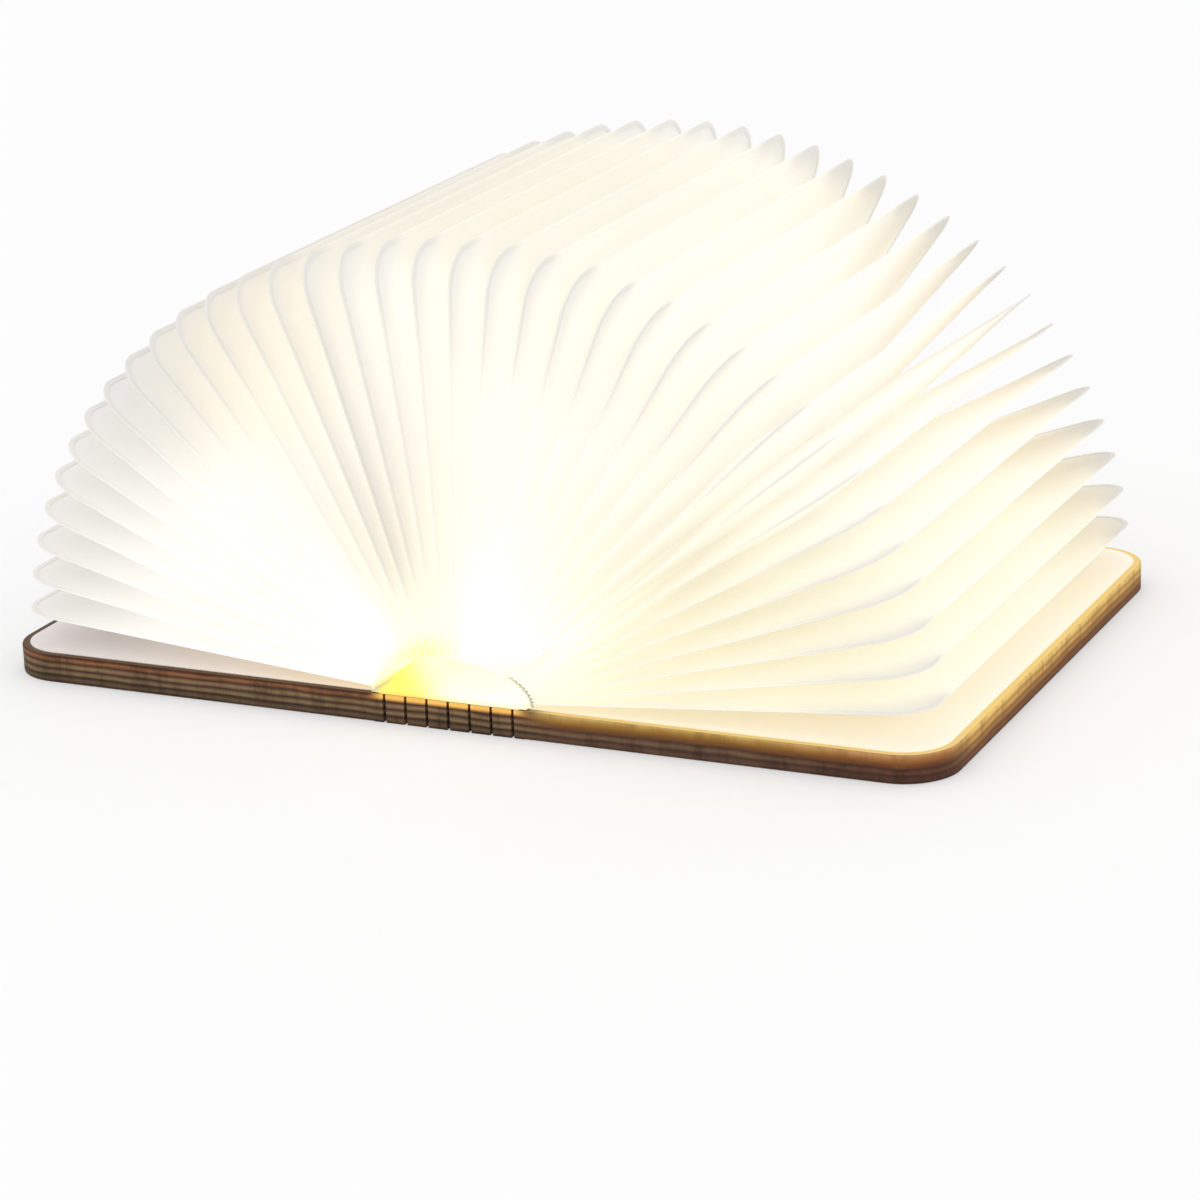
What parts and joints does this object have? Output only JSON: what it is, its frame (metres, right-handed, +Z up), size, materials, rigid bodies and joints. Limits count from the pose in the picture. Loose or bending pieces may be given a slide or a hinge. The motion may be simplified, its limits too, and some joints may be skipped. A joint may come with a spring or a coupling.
{
  "type": "folding book lamp",
  "caption": "Book-shaped rechargeable lamp: wooden covers on a laser-cut living hinge open a glowing fan of paper leaves.",
  "frame": {"origin": "on the surface that the open lamp lies on, under the middle of the spine", "axes": "+X from the spine towards the right cover, +Y along the spine away from the viewer, +Z up"},
  "size_m": [0.184, 0.122, 0.0864],
  "materials": {
    "cover_wood": "satin",
    "paper": "matte",
    "magnet_steel": "satin",
    "adhesive_foam": "matte",
    "white_plastic": "matte",
    "battery_wrap": "satin",
    "board_white": "satin",
    "screw_steel": "satin",
    "diode": "glossy",
    "frosted_plastic": "matte",
    "board_green": "satin",
    "black_plastic": "matte",
    "wire_insulation": "satin"
  },
  "bodies": {
    "spine": {"spine_core": "cover_wood", "adhesive_pad": "adhesive_foam", "module_housing": "white_plastic", "battery": "battery_wrap", "light_board": "board_white", "light_board_screws": "screw_steel", "light_diodes": "diode", "diffuser": "frosted_plastic", "charge_board": "board_green", "charge_socket": "screw_steel", "cover_sensor": "black_plastic", "lead_wires": "wire_insulation"},
    "right_strip_1": {"right_hinge_strip_1": "cover_wood"},
    "right_strip_2": {"right_hinge_strip_2": "cover_wood"},
    "right_cover": {"right_cover": "cover_wood", "right_end_sheet": "paper", "right_cover_magnets": "magnet_steel"},
    "left_strip_1": {"left_hinge_strip_1": "cover_wood"},
    "left_strip_2": {"left_hinge_strip_2": "cover_wood"},
    "left_cover": {"left_cover": "cover_wood", "left_end_sheet": "paper", "left_cover_magnets": "magnet_steel", "sensor_magnet": "magnet_steel"},
    "leaf_1": {"leaf_1": "paper"},
    "leaf_2": {"leaf_2": "paper"},
    "leaf_3": {"leaf_3": "paper"},
    "leaf_4": {"leaf_4": "paper"},
    "leaf_5": {"leaf_5": "paper"},
    "leaf_6": {"leaf_6": "paper"},
    "leaf_7": {"leaf_7": "paper"},
    "leaf_8": {"leaf_8": "paper"},
    "leaf_9": {"leaf_9": "paper"},
    "leaf_10": {"leaf_10": "paper"},
    "leaf_11": {"leaf_11": "paper"},
    "leaf_12": {"leaf_12": "paper"},
    "leaf_13": {"leaf_13": "paper"},
    "leaf_14": {"leaf_14": "paper"},
    "leaf_15": {"leaf_15": "paper"},
    "leaf_16": {"leaf_16": "paper"},
    "leaf_17": {"leaf_17": "paper"},
    "leaf_18": {"leaf_18": "paper"},
    "leaf_19": {"leaf_19": "paper"},
    "leaf_20": {"leaf_20": "paper"},
    "leaf_21": {"leaf_21": "paper"},
    "leaf_22": {"leaf_22": "paper"},
    "leaf_23": {"leaf_23": "paper"},
    "leaf_24": {"leaf_24": "paper"},
    "leaf_25": {"leaf_25": "paper"},
    "leaf_26": {"leaf_26": "paper"},
    "leaf_27": {"leaf_27": "paper"},
    "leaf_28": {"leaf_28": "paper"},
    "leaf_29": {"leaf_29": "paper"},
    "leaf_30": {"leaf_30": "paper"},
    "leaf_31": {"leaf_31": "paper"},
    "leaf_32": {"leaf_32": "paper"},
    "leaf_33": {"leaf_33": "paper"},
    "leaf_34": {"leaf_34": "paper"},
    "leaf_35": {"leaf_35": "paper"},
    "leaf_36": {"leaf_36": "paper"}
  },
  "joints": [
    {"name": "right_cover_fold", "type": "hinge", "parent": "spine", "child": "right_cover", "pos_m": [0.0084, 0, 0.00414], "axis": [0, -1, 0], "range_deg": [-90, 90]},
    {"name": "right_kerf_1", "type": "hinge", "parent": "spine", "child": "right_strip_1", "pos_m": [0.0042, 0, 0.0026], "axis": [0, -1, 0], "range_deg": [-30.03, 30.03], "deforming": ["right_hinge_strip_1"]},
    {"name": "right_kerf_2", "type": "hinge", "parent": "spine", "child": "right_strip_2", "pos_m": [0.0063, 0, 0.00316], "axis": [0, -1, 0], "range_deg": [-60.06, 60.06], "deforming": ["right_hinge_strip_2"]},
    {"name": "left_cover_fold", "type": "hinge", "parent": "spine", "child": "left_cover", "pos_m": [-0.0084, 0, 0.00414], "axis": [0, 1, 0], "range_deg": [-90.09, 90.09]},
    {"name": "left_kerf_1", "type": "hinge", "parent": "spine", "child": "left_strip_1", "pos_m": [-0.0042, 0, 0.0026], "axis": [0, 1, 0], "range_deg": [-30.03, 30.03], "deforming": ["left_hinge_strip_1"]},
    {"name": "left_kerf_2", "type": "hinge", "parent": "spine", "child": "left_strip_2", "pos_m": [-0.0063, 0, 0.00316], "axis": [0, 1, 0], "range_deg": [-60.06, 60.06], "deforming": ["left_hinge_strip_2"]},
    {"name": "leaf_18_fold", "type": "hinge", "parent": "spine", "child": "leaf_18", "pos_m": [-0.00028, 0, 0.00177], "axis": [0, 1, 0], "range_deg": [-2.43, 2.43]},
    {"name": "leaf_17_fold", "type": "hinge", "parent": "leaf_18", "child": "leaf_17", "pos_m": [-0.00111, 0, 0.00179], "axis": [0, 1, 0], "range_deg": [-4.87, 4.87]},
    {"name": "leaf_16_fold", "type": "hinge", "parent": "leaf_17", "child": "leaf_16", "pos_m": [-0.00221, 0, 0.00183], "axis": [0, 1, 0], "range_deg": [-4.87, 4.87]},
    {"name": "leaf_15_fold", "type": "hinge", "parent": "leaf_16", "child": "leaf_15", "pos_m": [-0.00329, 0, 0.0019], "axis": [0, 1, 0], "range_deg": [-4.87, 4.87]},
    {"name": "leaf_14_fold", "type": "hinge", "parent": "leaf_15", "child": "leaf_14", "pos_m": [-0.00435, 0, 0.00199], "axis": [0, 1, 0], "range_deg": [-4.87, 4.87]},
    {"name": "leaf_13_fold", "type": "hinge", "parent": "leaf_14", "child": "leaf_13", "pos_m": [-0.00538, 0, 0.00211], "axis": [0, 1, 0], "range_deg": [-4.87, 4.87]},
    {"name": "leaf_12_fold", "type": "hinge", "parent": "leaf_13", "child": "leaf_12", "pos_m": [-0.00637, 0, 0.00225], "axis": [0, 1, 0], "range_deg": [-4.87, 4.87]},
    {"name": "leaf_11_fold", "type": "hinge", "parent": "leaf_12", "child": "leaf_11", "pos_m": [-0.00732, 0, 0.00242], "axis": [0, 1, 0], "range_deg": [-4.87, 4.87]},
    {"name": "leaf_10_fold", "type": "hinge", "parent": "leaf_11", "child": "leaf_10", "pos_m": [-0.00821, 0, 0.00261], "axis": [0, 1, 0], "range_deg": [-4.87, 4.87]},
    {"name": "leaf_9_fold", "type": "hinge", "parent": "leaf_10", "child": "leaf_9", "pos_m": [-0.00904, 0, 0.00281], "axis": [0, 1, 0], "range_deg": [-4.87, 4.87]},
    {"name": "leaf_8_fold", "type": "hinge", "parent": "leaf_9", "child": "leaf_8", "pos_m": [-0.00981, 0, 0.00304], "axis": [0, 1, 0], "range_deg": [-4.87, 4.87]},
    {"name": "leaf_7_fold", "type": "hinge", "parent": "leaf_8", "child": "leaf_7", "pos_m": [-0.0105, 0, 0.00329], "axis": [0, 1, 0], "range_deg": [-4.87, 4.87]},
    {"name": "leaf_6_fold", "type": "hinge", "parent": "leaf_7", "child": "leaf_6", "pos_m": [-0.01113, 0, 0.00355], "axis": [0, 1, 0], "range_deg": [-4.87, 4.87]},
    {"name": "leaf_5_fold", "type": "hinge", "parent": "leaf_6", "child": "leaf_5", "pos_m": [-0.01167, 0, 0.00383], "axis": [0, 1, 0], "range_deg": [-4.87, 4.87]},
    {"name": "leaf_4_fold", "type": "hinge", "parent": "leaf_5", "child": "leaf_4", "pos_m": [-0.01212, 0, 0.00411], "axis": [0, 1, 0], "range_deg": [-4.87, 4.87]},
    {"name": "leaf_3_fold", "type": "hinge", "parent": "leaf_4", "child": "leaf_3", "pos_m": [-0.01249, 0, 0.00441], "axis": [0, 1, 0], "range_deg": [-4.87, 4.87]},
    {"name": "leaf_2_fold", "type": "hinge", "parent": "leaf_3", "child": "leaf_2", "pos_m": [-0.01277, 0, 0.00472], "axis": [0, 1, 0], "range_deg": [-4.87, 4.87]},
    {"name": "leaf_1_fold", "type": "hinge", "parent": "leaf_2", "child": "leaf_1", "pos_m": [-0.01296, 0, 0.00503], "axis": [0, 1, 0], "range_deg": [-4.87, 4.87]},
    {"name": "leaf_19_fold", "type": "hinge", "parent": "leaf_18", "child": "leaf_19", "pos_m": [0, 0, 0.00178], "axis": [0, -1, 0], "range_deg": [-4.87, 4.87]},
    {"name": "leaf_20_fold", "type": "hinge", "parent": "leaf_19", "child": "leaf_20", "pos_m": [0.00111, 0, 0.00179], "axis": [0, -1, 0], "range_deg": [-4.87, 4.87]},
    {"name": "leaf_21_fold", "type": "hinge", "parent": "leaf_20", "child": "leaf_21", "pos_m": [0.00221, 0, 0.00183], "axis": [0, -1, 0], "range_deg": [-4.87, 4.87]},
    {"name": "leaf_22_fold", "type": "hinge", "parent": "leaf_21", "child": "leaf_22", "pos_m": [0.00329, 0, 0.0019], "axis": [0, -1, 0], "range_deg": [-4.87, 4.87]},
    {"name": "leaf_23_fold", "type": "hinge", "parent": "leaf_22", "child": "leaf_23", "pos_m": [0.00435, 0, 0.00199], "axis": [0, -1, 0], "range_deg": [-4.87, 4.87]},
    {"name": "leaf_24_fold", "type": "hinge", "parent": "leaf_23", "child": "leaf_24", "pos_m": [0.00538, 0, 0.00211], "axis": [0, -1, 0], "range_deg": [-4.87, 4.87]},
    {"name": "leaf_25_fold", "type": "hinge", "parent": "leaf_24", "child": "leaf_25", "pos_m": [0.00637, 0, 0.00225], "axis": [0, -1, 0], "range_deg": [-4.87, 4.87]},
    {"name": "leaf_26_fold", "type": "hinge", "parent": "leaf_25", "child": "leaf_26", "pos_m": [0.00732, 0, 0.00242], "axis": [0, -1, 0], "range_deg": [-4.87, 4.87]},
    {"name": "leaf_27_fold", "type": "hinge", "parent": "leaf_26", "child": "leaf_27", "pos_m": [0.00821, 0, 0.00261], "axis": [0, -1, 0], "range_deg": [-4.87, 4.87]},
    {"name": "leaf_28_fold", "type": "hinge", "parent": "leaf_27", "child": "leaf_28", "pos_m": [0.00904, 0, 0.00281], "axis": [0, -1, 0], "range_deg": [-4.87, 4.87]},
    {"name": "leaf_29_fold", "type": "hinge", "parent": "leaf_28", "child": "leaf_29", "pos_m": [0.00981, 0, 0.00304], "axis": [0, -1, 0], "range_deg": [-4.87, 4.87]},
    {"name": "leaf_30_fold", "type": "hinge", "parent": "leaf_29", "child": "leaf_30", "pos_m": [0.0105, 0, 0.00329], "axis": [0, -1, 0], "range_deg": [-4.87, 4.87]},
    {"name": "leaf_31_fold", "type": "hinge", "parent": "leaf_30", "child": "leaf_31", "pos_m": [0.01113, 0, 0.00355], "axis": [0, -1, 0], "range_deg": [-4.87, 4.87]},
    {"name": "leaf_32_fold", "type": "hinge", "parent": "leaf_31", "child": "leaf_32", "pos_m": [0.01167, 0, 0.00383], "axis": [0, -1, 0], "range_deg": [-4.87, 4.87]},
    {"name": "leaf_33_fold", "type": "hinge", "parent": "leaf_32", "child": "leaf_33", "pos_m": [0.01212, 0, 0.00411], "axis": [0, -1, 0], "range_deg": [-4.87, 4.87]},
    {"name": "leaf_34_fold", "type": "hinge", "parent": "leaf_33", "child": "leaf_34", "pos_m": [0.01249, 0, 0.00441], "axis": [0, -1, 0], "range_deg": [-4.87, 4.87]},
    {"name": "leaf_35_fold", "type": "hinge", "parent": "leaf_34", "child": "leaf_35", "pos_m": [0.01277, 0, 0.00472], "axis": [0, -1, 0], "range_deg": [-4.87, 4.87]},
    {"name": "leaf_36_fold", "type": "hinge", "parent": "leaf_35", "child": "leaf_36", "pos_m": [0.01296, 0, 0.00503], "axis": [0, -1, 0], "range_deg": [-4.87, 4.87]}
  ],
  "couplings": [
    {"joint": "right_kerf_1", "follows": "right_cover_fold", "ratio": 0.33333},
    {"joint": "right_kerf_2", "follows": "right_cover_fold", "ratio": 0.66667},
    {"joint": "left_cover_fold", "follows": "right_cover_fold", "ratio": 1},
    {"joint": "left_kerf_1", "follows": "right_cover_fold", "ratio": 0.33333},
    {"joint": "left_kerf_2", "follows": "right_cover_fold", "ratio": 0.66667},
    {"joint": "leaf_18_fold", "follows": "right_cover_fold", "ratio": 0.027027},
    {"joint": "leaf_17_fold", "follows": "right_cover_fold", "ratio": 0.054054},
    {"joint": "leaf_16_fold", "follows": "right_cover_fold", "ratio": 0.054054},
    {"joint": "leaf_15_fold", "follows": "right_cover_fold", "ratio": 0.054054},
    {"joint": "leaf_14_fold", "follows": "right_cover_fold", "ratio": 0.054054},
    {"joint": "leaf_13_fold", "follows": "right_cover_fold", "ratio": 0.054054},
    {"joint": "leaf_12_fold", "follows": "right_cover_fold", "ratio": 0.054054},
    {"joint": "leaf_11_fold", "follows": "right_cover_fold", "ratio": 0.054054},
    {"joint": "leaf_10_fold", "follows": "right_cover_fold", "ratio": 0.054054},
    {"joint": "leaf_9_fold", "follows": "right_cover_fold", "ratio": 0.054054},
    {"joint": "leaf_8_fold", "follows": "right_cover_fold", "ratio": 0.054054},
    {"joint": "leaf_7_fold", "follows": "right_cover_fold", "ratio": 0.054054},
    {"joint": "leaf_6_fold", "follows": "right_cover_fold", "ratio": 0.054054},
    {"joint": "leaf_5_fold", "follows": "right_cover_fold", "ratio": 0.054054},
    {"joint": "leaf_4_fold", "follows": "right_cover_fold", "ratio": 0.054054},
    {"joint": "leaf_3_fold", "follows": "right_cover_fold", "ratio": 0.054054},
    {"joint": "leaf_2_fold", "follows": "right_cover_fold", "ratio": 0.054054},
    {"joint": "leaf_1_fold", "follows": "right_cover_fold", "ratio": 0.054054},
    {"joint": "leaf_19_fold", "follows": "right_cover_fold", "ratio": 0.054054},
    {"joint": "leaf_20_fold", "follows": "right_cover_fold", "ratio": 0.054054},
    {"joint": "leaf_21_fold", "follows": "right_cover_fold", "ratio": 0.054054},
    {"joint": "leaf_22_fold", "follows": "right_cover_fold", "ratio": 0.054054},
    {"joint": "leaf_23_fold", "follows": "right_cover_fold", "ratio": 0.054054},
    {"joint": "leaf_24_fold", "follows": "right_cover_fold", "ratio": 0.054054},
    {"joint": "leaf_25_fold", "follows": "right_cover_fold", "ratio": 0.054054},
    {"joint": "leaf_26_fold", "follows": "right_cover_fold", "ratio": 0.054054},
    {"joint": "leaf_27_fold", "follows": "right_cover_fold", "ratio": 0.054054},
    {"joint": "leaf_28_fold", "follows": "right_cover_fold", "ratio": 0.054054},
    {"joint": "leaf_29_fold", "follows": "right_cover_fold", "ratio": 0.054054},
    {"joint": "leaf_30_fold", "follows": "right_cover_fold", "ratio": 0.054054},
    {"joint": "leaf_31_fold", "follows": "right_cover_fold", "ratio": 0.054054},
    {"joint": "leaf_32_fold", "follows": "right_cover_fold", "ratio": 0.054054},
    {"joint": "leaf_33_fold", "follows": "right_cover_fold", "ratio": 0.054054},
    {"joint": "leaf_34_fold", "follows": "right_cover_fold", "ratio": 0.054054},
    {"joint": "leaf_35_fold", "follows": "right_cover_fold", "ratio": 0.054054},
    {"joint": "leaf_36_fold", "follows": "right_cover_fold", "ratio": 0.054054}
  ]
}
